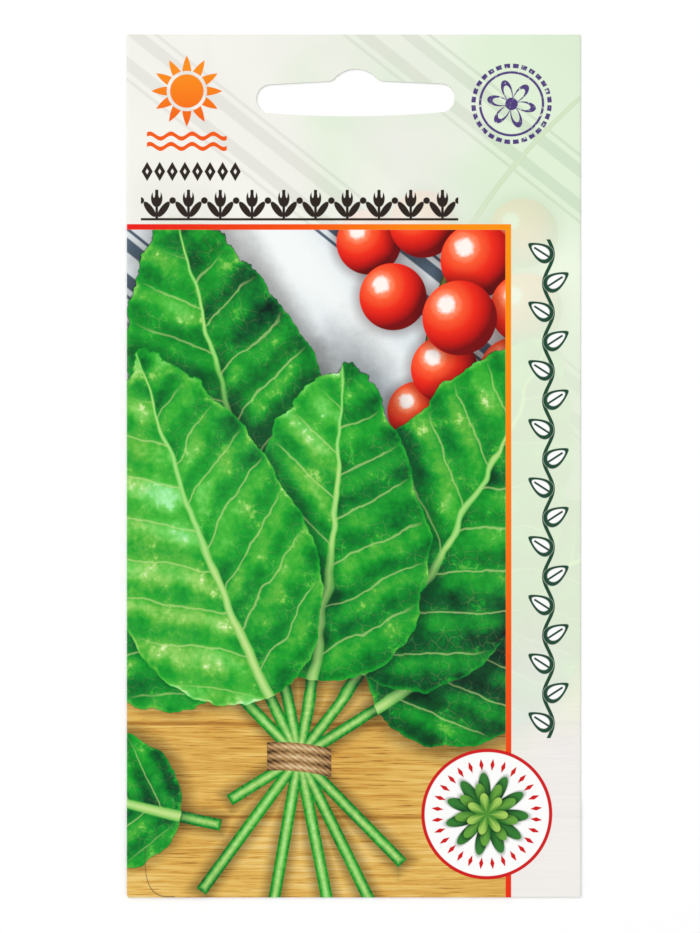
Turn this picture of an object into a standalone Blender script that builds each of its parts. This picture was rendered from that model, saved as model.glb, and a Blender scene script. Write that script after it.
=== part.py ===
"""Seed packet: one printed paper sheet folded into a flat envelope, with a punched header and loose seeds.

The packet lies on its back. +X is the packet's width, +Y runs up to the header, and +Z is the printed front.
The origin is the middle of the back, on the surface that the packet lies on. Units are metres.
"""

import math
import random

import bmesh
import bpy
from mathutils import Matrix

# Paper and the step from one layer of it to the next, glue line included
PAPER = 0.0002
LAYER_STEP = 0.0003

# Folded packet
PACKET_WIDTH = 0.0750
PACKET_HEIGHT = 0.1427
SIDE_LAP = 0.0120
BACK_EDGE_MARGIN = 0.0004
BOTTOM_FLAP = 0.0150
FLAP_TAPER = 0.0060
STEP_START = 0.0005
STEP_LENGTH = 0.0020
BEND_SEGMENTS = 4

# Hang slot: a bar with round ends, a bowed lower edge and a dome for the display hook
SLOT_MIDDLE_X = 0.0003
SLOT_MIDDLE_Y = 0.0608
SLOT_TURN = math.radians(0.3)
SLOT_HALF_LENGTH = 0.01645
SLOT_END_RADIUS = 0.0024
SLOT_TOP = 0.00287
SLOT_BOTTOM = 0.00296
DOME_RADIUS = 0.00478
DOME_TOP = 0.0049
DOME_FILLET = 0.0015
PUNCH_REACH = 0.0040
WELD = 1e-6

# Swell of the front over the seeds
SWELL_HEIGHT = 0.0022
SWELL_MIDDLE_Y = -0.0230
SWELL_REACH_X = 0.0340
SWELL_REACH_Y = 0.0450
FRONT_COLUMNS = 12
BACK_COLUMNS = 3
PACKET_ROWS = 22

# Seeds: three-sided nutlets, lying in one layer with a smaller layer on top of it
SEED_LENGTH = 0.0023
SEED_RADIUS = 0.00085
SEED_SPACING = 0.0032
SEED_JITTER = 0.3
SEED_ROLL = 9
HEAP_REACH_X = 0.0165
HEAP_REACH_Y = 0.0215
HEAP_CORE_HALF = 0.00048
LAYER_REACHES = (0.96, 0.56)
LAYER_RISE = 0.0007
SEED_CLEARANCE = 0.0003
RANDOM_SEED = 12

# Middle of each layer of paper, and of the bends between them
FLAP_MIDDLE = PAPER / 2
BEND_RADIUS = LAYER_STEP / 2
BOTTOM_BEND = LAYER_STEP
SIDE_BEND_X = PACKET_WIDTH / 2 - BEND_RADIUS - PAPER / 2
BOTTOM_BEND_Y = BOTTOM_BEND + PAPER / 2 - PACKET_HEIGHT / 2
LAP_END = SIDE_LAP - PACKET_WIDTH / 2
FLAP_END = BOTTOM_FLAP - PACKET_HEIGHT / 2


def clear_scene():
    """Removes every object, so that the file runs from an empty scene."""
    for obj in list(bpy.data.objects):
        bpy.data.objects.remove(obj)


def new_collection(name):
    """A new collection under the scene's own."""
    collection = bpy.data.collections.new(name)
    bpy.context.scene.collection.children.link(collection)
    return collection


def material(name, colour, roughness):
    """A plain Principled material with this base colour and roughness."""
    made = bpy.data.materials.new(name)
    made.use_nodes = True
    shader = made.node_tree.nodes["Principled BSDF"]
    shader.inputs["Base Color"].default_value = (*colour, 1.0)
    shader.inputs["Roughness"].default_value = roughness
    shader.inputs["Metallic"].default_value = 0.0
    return made


def arc(x, y, radius, start, end, steps):
    """Points of an arc round (x, y), with its angles in degrees and both ends included."""
    turns = [math.radians(start + (end - start) * i / steps) for i in range(steps + 1)]
    return [(x + radius * math.cos(a), y + radius * math.sin(a)) for a in turns]


def slot_outline():
    """The hang slot's outline about its own middle, anticlockwise from the bow of its lower edge."""
    end_x = SLOT_HALF_LENGTH - SLOT_END_RADIUS
    dome_y = DOME_TOP - DOME_RADIUS
    reach = DOME_RADIUS + DOME_FILLET
    fillet_y = SLOT_TOP + DOME_FILLET
    fillet_x = math.sqrt(reach**2 - (fillet_y - dome_y) ** 2)
    lean = math.degrees(math.atan2(fillet_y - dome_y, fillet_x))
    sag = SLOT_BOTTOM - SLOT_END_RADIUS
    bow_radius = (end_x**2 + sag**2) / (2 * sag)
    bow_half = math.degrees(math.asin(end_x / bow_radius))
    bow = arc(0, bow_radius - SLOT_BOTTOM, bow_radius, -90 - bow_half, -90 + bow_half, 6)
    return (
        bow[:-1]
        + arc(end_x, 0, SLOT_END_RADIUS, -90, 90, 12)
        + arc(fillet_x, fillet_y, DOME_FILLET, 270, 180 + lean, 4)
        + arc(0, dome_y, DOME_RADIUS, lean, 180 - lean, 12)[1:-1]
        + arc(-fillet_x, fillet_y, DOME_FILLET, -lean, -90, 4)
        + arc(-end_x, 0, SLOT_END_RADIUS, 90, 270, 12)[:-1]
    )


def slot_cutter(collection):
    """The punch that cuts the hang slot: its outline filled and extruded, as a mesh."""
    data = bpy.data.curves.new("slot_punch", "CURVE")
    data.dimensions = "2D"
    data.fill_mode = "BOTH"
    data.extrude = PUNCH_REACH
    outline = slot_outline()
    spline = data.splines.new("POLY")
    spline.points.add(len(outline) - 1)
    for point, (x, y) in zip(spline.points, outline):
        point.co = (x, y, 0.0, 1.0)
    spline.use_cyclic_u = True
    curve = bpy.data.objects.new("slot_curve", data)
    curve.location = (SLOT_MIDDLE_X, SLOT_MIDDLE_Y, 0.0)
    curve.rotation_euler = (0.0, 0.0, SLOT_TURN)
    collection.objects.link(curve)
    bpy.context.view_layer.update()
    graph = bpy.context.evaluated_depsgraph_get()
    mesh = bpy.data.meshes.new_from_object(curve.evaluated_get(graph))
    built = bmesh.new()
    built.from_mesh(mesh)
    bmesh.ops.remove_doubles(built, verts=built.verts, dist=WELD)
    bmesh.ops.recalc_face_normals(built, faces=built.faces)
    built.to_mesh(mesh)
    built.free()
    cutter = bpy.data.objects.new("slot_punch", mesh)
    cutter.matrix_world = curve.matrix_world.copy()
    bpy.data.objects.remove(curve)
    collection.objects.link(cutter)
    cutter.hide_render = True
    cutter.display_type = "WIRE"
    return cutter


def step_down(position, end):
    """1 up to just past the end of a layer beneath, then a soft slope to 0."""
    share = (position - end - STEP_START) / STEP_LENGTH
    return 0.5 + 0.5 * math.cos(math.pi * min(max(share, 0.0), 1.0))


def swell(x, y):
    """How far the seeds push the front up: a soft mound, level at its top and at its rim."""
    across = min(abs(x) / SWELL_REACH_X, 1.0)
    along = min(abs(y - SWELL_MIDDLE_Y) / SWELL_REACH_Y, 1.0)
    return SWELL_HEIGHT * ((1 - across**3) * (1 - along**3)) ** 2


def back_z(y):
    """Middle of the back panel: on the resting plane, and one layer up where the bottom flap is under it."""
    return FLAP_MIDDLE + LAYER_STEP * step_down(y, FLAP_END)


def front_z(x, y):
    """Middle of the front panel: over the back, over the side lap and over the seeds."""
    return back_z(y) + LAYER_STEP * (1 + step_down(x, LAP_END)) + swell(x, y)


def spread(low, high, count):
    """Even stations from low to high, with both ends."""
    return [low + (high - low) * i / count for i in range(count + 1)]


def blank_columns():
    """Stations across the blank, as (panel, place): side lap, left bend, front, right bend and back."""
    lap = [("lap", x) for x in (LAP_END, (LAP_END - SIDE_BEND_X) / 2)]
    bend = spread(0.0, math.pi, BEND_SEGMENTS)
    front_x = [LAP_END + STEP_START, LAP_END + STEP_START + STEP_LENGTH / 2]
    front_x += spread(LAP_END + STEP_START + STEP_LENGTH, SIDE_BEND_X, FRONT_COLUMNS)
    front_x = [(LAP_END - SIDE_BEND_X) / 2] + front_x
    back_x = spread(SIDE_BEND_X, BACK_EDGE_MARGIN - PACKET_WIDTH / 2, BACK_COLUMNS)
    return (
        lap
        + [("left bend", angle) for angle in reversed(bend)]
        + [("front", x) for x in front_x[:-1]]
        + [("right bend", angle) for angle in bend]
        + [("back", x) for x in back_x[1:]]
    )


def blank_rows():
    """Stations along the blank, as (panel, place): bottom flap, bottom bend and the packet's height."""
    flap = [("flap", y) for y in (FLAP_END, (FLAP_END + BOTTOM_BEND_Y) / 2)]
    bend = [("bend", angle) for angle in reversed(spread(0.0, math.pi, BEND_SEGMENTS))]
    above = [BOTTOM_BEND_Y + LAYER_STEP, FLAP_END + STEP_START, FLAP_END + STEP_START + STEP_LENGTH / 2]
    above += spread(FLAP_END + STEP_START + STEP_LENGTH, PACKET_HEIGHT / 2, PACKET_ROWS)
    return flap + bend + [("packet", y) for y in above]


def folded(column, row):
    """Where a point of the blank lies once the blank is folded."""
    panel, place = column
    zone, along = row
    y = along if zone == "packet" else BOTTOM_BEND_Y
    if panel == "back":
        return place, y, back_z(y)
    if panel == "lap":
        return place, y, back_z(y) + LAYER_STEP
    if panel == "right bend":
        middle = back_z(y) + BEND_RADIUS
        x = SIDE_BEND_X + BEND_RADIUS * math.sin(place)
        z = middle + BEND_RADIUS * math.cos(place)
    elif panel == "left bend":
        middle = back_z(y) + LAYER_STEP + BEND_RADIUS
        x = -SIDE_BEND_X - BEND_RADIUS * math.sin(place)
        z = middle + BEND_RADIUS * math.cos(place)
    else:
        x, z = place, front_z(place, y)
    if zone == "packet":
        return x, y, z
    half_drop = (z - FLAP_MIDDLE) / 2
    if zone == "bend":
        return x, y - BOTTOM_BEND * math.sin(along), FLAP_MIDDLE + half_drop * (1 + math.cos(along))
    reach = (along - BOTTOM_BEND_Y) / (FLAP_END - BOTTOM_BEND_Y)
    return x * (1 - reach * FLAP_TAPER / SIDE_BEND_X), along, FLAP_MIDDLE


def on_blank(column, row):
    """Whether the blank has paper at this station: only the front reaches down into the bottom flap."""
    panel, place = column
    flat_side = panel in ("left bend", "right bend") and place == 0.0
    return row[0] == "packet" or panel == "front" or flat_side


def envelope(collection, cutter):
    """The folded sheet: a grid laid on the blank, folded, given the paper's thickness and punched."""
    columns = blank_columns()
    rows = blank_rows()
    built = bmesh.new()
    bmesh.ops.create_grid(built, x_segments=len(columns) - 1, y_segments=len(rows) - 1, size=0.5)
    spare = []
    for vertex in built.verts:
        column = columns[round((vertex.co.x + 0.5) * (len(columns) - 1))]
        row = rows[round((vertex.co.y + 0.5) * (len(rows) - 1))]
        vertex.co = folded(column, row)
        if not on_blank(column, row):
            spare.append(vertex)
    bmesh.ops.delete(built, geom=spare, context="VERTS")
    mesh = bpy.data.meshes.new("envelope")
    built.to_mesh(mesh)
    built.free()
    mesh.shade_smooth()
    obj = bpy.data.objects.new("envelope", mesh)
    collection.objects.link(obj)
    sheet = obj.modifiers.new("paper", "SOLIDIFY")
    sheet.thickness = PAPER
    sheet.offset = 0.0
    sheet.use_even_offset = True
    cut = obj.modifiers.new("hang slot", "BOOLEAN")
    cut.object = cutter
    cut.operation = "DIFFERENCE"
    cut.solver = "EXACT"
    return obj


def heap_places(draw, lowest):
    """Seed centres on a jittered triangular lattice: a full layer and a smaller one on top of it."""
    row_step = SEED_SPACING * math.sqrt(3) / 2
    rows = int(HEAP_REACH_Y / row_step) + 1
    columns = int(HEAP_REACH_X / SEED_SPACING) + 1
    places = []
    for layer, reach in enumerate(LAYER_REACHES):
        for row in range(-rows, rows + 1):
            for column in range(-columns, columns + 1):
                x = (column + 0.5 * ((row + layer) % 2)) * SEED_SPACING
                x += draw.uniform(-SEED_JITTER, SEED_JITTER) * SEED_SPACING
                y = row * row_step
                y += draw.uniform(-SEED_JITTER, SEED_JITTER) * SEED_SPACING
                if math.hypot(x / HEAP_REACH_X, y / HEAP_REACH_Y) < reach:
                    places.append((x, y + SWELL_MIDDLE_Y, lowest + layer * LAYER_RISE))
    return places


def seeds(collection):
    """The loose seeds as one heap: three-sided spindles lying on a flat side, joined by a low core."""
    draw = random.Random(RANDOM_SEED)
    floor = PAPER + SEED_CLEARANCE
    spindle = bpy.data.meshes.new("spindle")
    built = bmesh.new()
    bmesh.ops.create_uvsphere(built, u_segments=3, v_segments=3, radius=1.0)
    bmesh.ops.scale(built, vec=(SEED_RADIUS, SEED_RADIUS, SEED_LENGTH / 2), verts=built.verts)
    built.to_mesh(spindle)
    built.free()
    core = bpy.data.meshes.new("seeds")
    built = bmesh.new()
    bmesh.ops.create_uvsphere(built, u_segments=24, v_segments=8, radius=1.0)
    bmesh.ops.scale(built, vec=(HEAP_REACH_X, HEAP_REACH_Y, HEAP_CORE_HALF), verts=built.verts)
    bmesh.ops.translate(built, vec=(0.0, SWELL_MIDDLE_Y, floor + HEAP_CORE_HALF), verts=built.verts)
    built.to_mesh(core)
    built.free()
    heap = bpy.data.objects.new("seeds", core)
    collection.objects.link(heap)
    loose = new_collection("loose_seeds")
    lie = Matrix.Rotation(math.radians(90), 4, "Y")
    for place in heap_places(draw, floor + SEED_RADIUS / 2):
        roll = Matrix.Rotation(math.radians(180 + draw.uniform(-SEED_ROLL, SEED_ROLL)), 4, "X")
        turn = Matrix.Rotation(draw.uniform(0, 2 * math.pi), 4, "Z")
        seed = bpy.data.objects.new("loose_seed", spindle)
        seed.matrix_world = Matrix.Translation(place) @ turn @ roll @ lie
        loose.objects.link(seed)
    join = heap.modifiers.new("join", "BOOLEAN")
    join.operation = "UNION"
    join.operand_type = "COLLECTION"
    join.collection = loose
    join.solver = "MANIFOLD"
    bpy.context.view_layer.update()
    graph = bpy.context.evaluated_depsgraph_get()
    joined = bpy.data.meshes.new_from_object(heap.evaluated_get(graph))
    heap.modifiers.clear()
    heap.data = joined
    for seed in list(loose.objects):
        bpy.data.objects.remove(seed)
    bpy.data.collections.remove(loose)
    return heap


def main():
    """Builds the packet's pieces, each with its own material."""
    clear_scene()
    pieces = new_collection("seed_packet")
    cutters = new_collection("cutters")
    sheet = envelope(pieces, slot_cutter(cutters))
    heap = seeds(pieces)
    sheet.data.materials.append(material("printed_paper", (0.36, 0.58, 0.24), 0.42))
    heap.data.materials.clear()
    heap.data.materials.append(material("seed_coat", (0.16, 0.07, 0.03), 0.30))


main()
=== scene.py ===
"""The looks of a paper seed packet that lies on its back: one printed sheet folded round loose seeds.

The folded sheet is worked out with numpy on a grid over the unfolded blank. Its print is drawn by shader
nodes in millimetres on Object coordinates: +X to the right, +Y up to the header, +Z out of the front.
"""

from __future__ import annotations

import logging
import math
from dataclasses import dataclass
from enum import IntEnum
from functools import reduce
from typing import Any, Callable, Sequence, Union

import bpy
import numpy as np
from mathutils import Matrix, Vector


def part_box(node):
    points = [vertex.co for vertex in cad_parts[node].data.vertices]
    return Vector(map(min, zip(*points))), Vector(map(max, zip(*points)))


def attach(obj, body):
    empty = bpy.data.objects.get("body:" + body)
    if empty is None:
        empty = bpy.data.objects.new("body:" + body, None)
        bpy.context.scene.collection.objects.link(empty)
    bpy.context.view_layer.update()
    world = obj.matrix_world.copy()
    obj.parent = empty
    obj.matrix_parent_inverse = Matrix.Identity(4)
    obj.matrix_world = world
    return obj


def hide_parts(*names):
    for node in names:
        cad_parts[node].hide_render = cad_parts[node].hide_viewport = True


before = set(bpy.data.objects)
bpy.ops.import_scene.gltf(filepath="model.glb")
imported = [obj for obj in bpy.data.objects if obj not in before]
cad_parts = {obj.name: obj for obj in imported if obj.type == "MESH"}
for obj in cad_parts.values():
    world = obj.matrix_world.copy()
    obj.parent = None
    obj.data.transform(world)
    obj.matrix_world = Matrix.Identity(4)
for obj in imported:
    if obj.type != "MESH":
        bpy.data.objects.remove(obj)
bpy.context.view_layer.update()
LOG = logging.getLogger("seed_packet")
MM = 0.001
SRGB_KNEE = 10.31
SMALLEST = 1e-15

Ink = tuple[float, ...]
Stops = Sequence[tuple[float, Ink]]
Place = tuple[float, float]


def ink(*levels: float) -> Ink:
    """A screen colour, each channel from 0 to 255, as linear numbers for a shader, by the sRGB curve."""
    linear = (((s / 255 + 0.055) / 1.055) ** 2.4 if s > SRGB_KNEE else s / 255 / 12.92 for s in levels)
    return (*linear, 1.0)


def linked(name: str, data: bpy.types.ID) -> bpy.types.Object:
    """A new object of this data in the scene."""
    bpy.context.scene.collection.objects.link(made := bpy.data.objects.new(name, data))
    return made


def math_node(operation: str, swapped: bool = False) -> Callable[..., Value]:
    """An operator or method of Value that adds one Math node.

    Args:
        operation: The Math node's operation.
        swapped: Whether the value comes after the other number.

    Returns:
        The operator.
    """
    return lambda value, *others: value.painter.maths(
        operation, *((*others, value) if swapped else (value, *others))
    )


class Value:
    """A shader socket that takes part in arithmetic: each operator adds a Math node.

    times_plus multiplies by its first number and adds its second. pingpong folds the value at its number.
    """

    def __init__(self, painter: Painter, socket: bpy.types.NodeSocket) -> None:
        """Keeps the socket and the painter whose tree holds it."""
        self.painter = painter
        self.socket = socket

    __add__ = __radd__ = math_node("ADD")
    __sub__ = math_node("SUBTRACT")
    __rsub__ = math_node("SUBTRACT", swapped=True)
    __mul__ = __rmul__ = math_node("MULTIPLY")
    __truediv__ = math_node("DIVIDE")
    __abs__ = math_node("ABSOLUTE")
    __gt__ = math_node("GREATER_THAN")
    __lt__ = math_node("LESS_THAN")
    times_plus = math_node("MULTIPLY_ADD")
    floor = math_node("FLOOR")
    fract = math_node("FRACT")
    cosine = math_node("COSINE")
    sine = math_node("SINE")
    power = math_node("POWER")
    pingpong = math_node("PINGPONG")

    def within(self, low: float, high: float) -> Value:
        """1 where the value is between low and high."""
        return (self > low) * (self < high)

    def soft(self, none: float, full: float) -> Value:
        """A smooth step: 0 where the value is at none or beyond, and 1 where it is at full or beyond."""
        sockets = {0: self, 1: none, 2: full, 3: 0.0, 4: 1.0}
        return self.painter.value("ShaderNodeMapRange", {"interpolation_type": "SMOOTHSTEP"}, sockets)

    def stroke(self, half: float) -> Value:
        """A line of this half width where the value is zero."""
        return abs(self).soft(half + 0.05, half - 0.05)

    def noise(self, scale: float, detail: float = 2.0, rough: float = 0.5) -> Value:
        """Smooth noise about 0.5 at this place, with scale waves to each unit of it."""
        sockets = {"Vector": self, "Scale": scale, "Detail": detail, "Roughness": rough}
        return self.painter.value("ShaderNodeTexNoise", {"noise_dimensions": "2D"}, sockets)


Number = Union[Value, float]
Colour = Union[Value, Ink]


class Painter:
    """Adds nodes to one material's tree and ends it in a Principled BSDF."""

    def __init__(self, name: str) -> None:
        """Starts a material and reads the place on the packet in millimetres.

        Args:
            name: The material's name.
        """
        self.material = bpy.data.materials.new(name)
        self.material.use_nodes = True
        self.tree = self.material.node_tree
        place = self.value("ShaderNodeTexCoord", {}, {}, "Object")
        axes = self.node("ShaderNodeSeparateXYZ", {}, {0: place})
        self.x, self.y, self.z = (Value(self, axis) * (1 / MM) for axis in axes.outputs)

    @property
    def where(self) -> Value:
        """The place in the print's plane."""
        return self.spot(self.x, self.y)

    def feed(self, node: bpy.types.Node, sockets: dict[Any, Any]) -> None:
        """Sets or links a node's sockets.

        Args:
            node: The node.
            sockets: Input name or number to the value or link that it takes.
        """
        for name, given in sockets.items():
            if isinstance(given, Value):
                self.tree.links.new(given.socket, node.inputs[name])
            else:
                node.inputs[name].default_value = given

    def node(self, kind: str, settings: dict[str, Any], sockets: dict[Any, Any]) -> bpy.types.Node:
        """Adds one node.

        Args:
            kind: The node's type name.
            settings: Properties to set first, such as a Math node's operation.
            sockets: Input name or number to the value or link that it takes.

        Returns:
            The node.
        """
        made = self.tree.nodes.new(kind)
        for name, setting in settings.items():
            setattr(made, name, setting)
        self.feed(made, sockets)
        return made

    def value(self, kind: str, settings: dict[str, Any], sockets: dict[Any, Any], output: Any = 0) -> Value:
        """One output of a new node."""
        return Value(self, self.node(kind, settings, sockets).outputs[output])

    def maths(self, operation: str, *values: Number) -> Value:
        """A Math node's result for these values."""
        return self.value("ShaderNodeMath", {"operation": operation}, dict(enumerate(values)))

    def most(self, *values: Number) -> Value:
        """The greatest of these values."""
        return reduce(lambda first, second: self.maths("MAXIMUM", first, second), values)

    def mix(self, share: Number, first: Colour, second: Colour, blend: str = "MIX") -> Value:
        """Colours mixed by share, from the first at 0 to the second at 1."""
        settings = {"data_type": "RGBA", "blend_type": blend}
        return self.value("ShaderNodeMix", settings, {0: share, 6: first, 7: second}, 2)

    def blend(self, share: Number, first: Number, second: Number) -> Value:
        """Numbers mixed by share, from the first at 0 to the second at 1."""
        return self.value("ShaderNodeMix", {"data_type": "FLOAT"}, {0: share, 2: first, 3: second})

    def slant(self, x: Value, y: Value, by_x: float, by_y: float, start: float = 0.0) -> Value:
        """x times by_x plus y times by_y plus start."""
        return x.times_plus(by_x, y.times_plus(by_y, start))

    def spot(self, x: Number, y: Number, z: Number = 0.0) -> Value:
        """A vector from three numbers."""
        return self.value("ShaderNodeCombineXYZ", {}, {0: x, 1: y, 2: z})

    def distance(self, x: Number, y: Number) -> Value:
        """How far (x, y) is from zero."""
        return self.value("ShaderNodeVectorMath", {"operation": "LENGTH"}, {0: self.spot(x, y)}, "Value")

    def ramp(self, value: Number, stops: Stops) -> Value:
        """A colour ramp's result.

        Args:
            value: Where on the ramp to read.
            stops: Each stop's position and colour.

        Returns:
            The colour there.
        """
        made = self.node("ShaderNodeValToRGB", {}, {0: value})
        elements = made.color_ramp.elements
        while len(elements) < len(stops):
            elements.new(0.5)
        for element, (position, colour) in zip(elements, stops):
            element.position = position
            element.color = colour
        return Value(self, made.outputs[0])

    def finish(
        self, colour: Colour, roughness: Number, height: Value, depth: float, gloss: float = 0.5
    ) -> bpy.types.Material:
        """Feeds the shader.

        Args:
            colour: Base colour.
            roughness: Roughness, as a number or a pattern.
            height: Relief from 0 to 1 that bumps the surface.
            depth: The relief's depth in metres.
            gloss: Specular level, the same all over.

        Returns:
            The finished material.
        """
        bump = self.value("ShaderNodeBump", {}, {"Height": height, "Strength": 1.0, "Distance": depth})
        shader = self.tree.nodes["Principled BSDF"]
        self.feed(shader, {"Base Color": colour, "Roughness": roughness})
        self.feed(shader, {"Specular IOR Level": gloss, "Normal": bump})
        return self.material


@dataclass(frozen=True)
class CoatedPaper:
    """Coated printing paper: how glossy it is and how its fibres and rollers leave its surface."""

    gloss: float = 0.12
    roughness: float = 0.36
    roughness_swing: float = 0.10
    sheen_wave: float = 0.11
    fibre_wave: float = 2.4
    relief: float = 0.000012

    def material(self, paint: Painter, colour: Colour) -> bpy.types.Material:
        """Ends a print's material in this paper.

        Args:
            paint: The print's painter.
            colour: The print's colour.

        Returns:
            The finished material.
        """
        where = paint.where
        sheen = where.noise(self.sheen_wave, 3.0)
        fibres = where.noise(self.fibre_wave, 3.0, 0.6)
        roughness = self.roughness + (sheen - 0.5) * self.roughness_swing
        return paint.finish(colour, roughness, fibres * 0.6 + sheen * 0.4, self.relief, self.gloss)


@dataclass(frozen=True)
class PlainPaper:
    """The unprinted side and the cut edges of the sheet: white with a warm, faintly fibrous tone."""

    light: Ink = ink(250, 249, 244)
    dark: Ink = ink(232, 229, 220)
    fibre_wave: float = 1.7
    roughness: float = 0.68
    relief: float = 0.000015

    def material(self) -> bpy.types.Material:
        """Builds the finish.

        Returns:
            The plain paper's material.
        """
        paint = Painter("plain_paper")
        fibres = paint.where.noise(self.fibre_wave, 4.0, 0.65)
        colour = paint.mix(fibres.soft(0.25, 0.8), self.dark, self.light)
        return paint.finish(colour, self.roughness, fibres, self.relief)


@dataclass(frozen=True)
class SeedCoat:
    """The nutlets' coat: dark glossy brown that turns lighter along the ridges."""

    dark: Ink = ink(58, 30, 18)
    light: Ink = ink(112, 66, 38)
    wave: float = 0.9
    roughness: float = 0.32
    relief: float = 0.00003

    def material(self) -> bpy.types.Material:
        """Builds the finish.

        Returns:
            The seeds' material.
        """
        paint = Painter("seed_coat")
        tone = paint.spot(paint.x, paint.y + paint.z * 3.0).noise(self.wave, 3.0)
        colour = paint.mix(tone.soft(0.3, 0.7), self.dark, self.light)
        return paint.finish(colour, self.roughness + (tone - 0.5) * 0.2, tone, self.relief)


@dataclass
class Layers:
    """Colours laid one over another by one painter."""

    painter: Painter
    colour: Colour = ink(255, 255, 255)

    def lay(self, mask: Number, colour: Colour, blend: str = "MIX") -> None:
        """Lays a colour over what is painted so far, where the mask is 1."""
        self.colour = self.painter.mix(mask, self.colour, colour, blend)


@dataclass(frozen=True)
class Leaf:
    """One painted leaf, in millimetres: its lean from upright in degrees, its stalk, blade and tone."""

    lean: float
    stalk: float
    length: float
    half: float
    bend: float
    tone: float
    veins: float = 8.0
    root: Place = (-9.0, -48.0)
    below: float = 27.0


@dataclass(frozen=True)
class Berry:
    """One painted berry, in millimetres."""

    x: float
    y: float
    radius: float


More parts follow.
